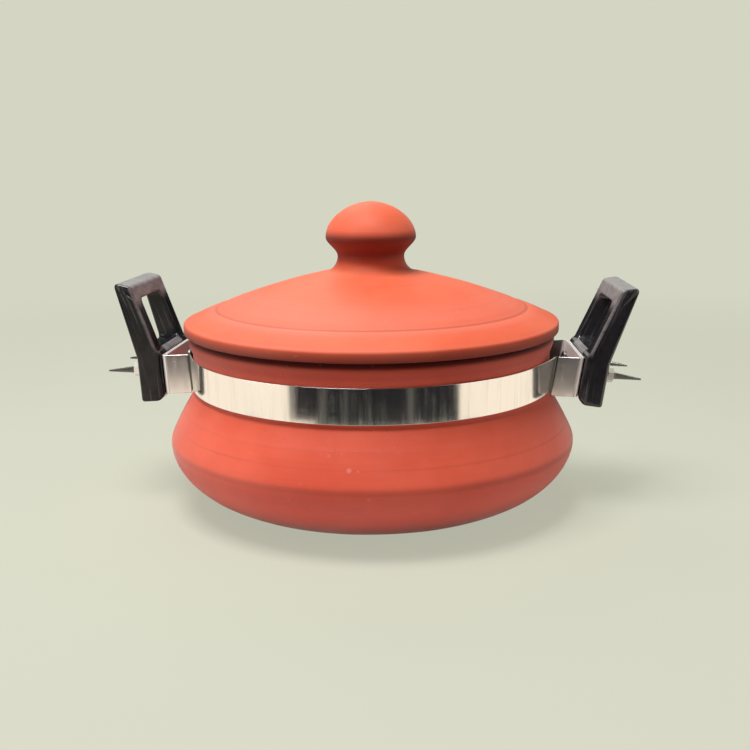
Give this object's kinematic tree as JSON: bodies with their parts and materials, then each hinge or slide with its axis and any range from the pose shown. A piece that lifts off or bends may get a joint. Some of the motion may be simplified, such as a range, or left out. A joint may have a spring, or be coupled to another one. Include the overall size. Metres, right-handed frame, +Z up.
{
  "type": "clay kadai",
  "caption": "Round-bellied clay cooking pot with a domed clay lid and knob, held at the neck by a polished steel strip band with a black moulded loop handle bolted to each side.",
  "frame": {"origin": "middle of the pot's flat base, on the surface that it stands on", "axes": "+Z up through the knob, +X towards the right-hand handle, +Y away from the front"},
  "size_m": [0.2943, 0.2264, 0.1651],
  "materials": {
    "pot_clay": "matte, burnished unglazed red clay",
    "lid_clay": "satin, burnished unglazed red clay",
    "band_steel": "polished strip",
    "bolt_steel": "dull, darkened",
    "nut_steel": "bright zinc",
    "bakelite": "glossy black moulding"
  },
  "bodies": {
    "pot": {"pot_body": "pot_clay", "band_front": "band_steel", "band_rear": "band_steel", "handle_right": "bakelite", "handle_left": "bakelite", "bolt_right_front": "bolt_steel", "bolt_right_rear": "bolt_steel", "bolt_left_front": "bolt_steel", "bolt_left_rear": "bolt_steel", "washer_right_front": "nut_steel", "washer_right_rear": "nut_steel", "washer_left_front": "nut_steel", "washer_left_rear": "nut_steel", "nut_right_front": "nut_steel", "nut_right_rear": "nut_steel", "nut_left_front": "nut_steel", "nut_left_rear": "nut_steel"},
    "lid": {"lid": "lid_clay"}
  },
  "joints": [
    {"name": "lid_lift", "type": "slide", "parent": "pot", "child": "lid", "axis": [0, 0, 1], "range_m": [0, 0.1]}
  ]
}
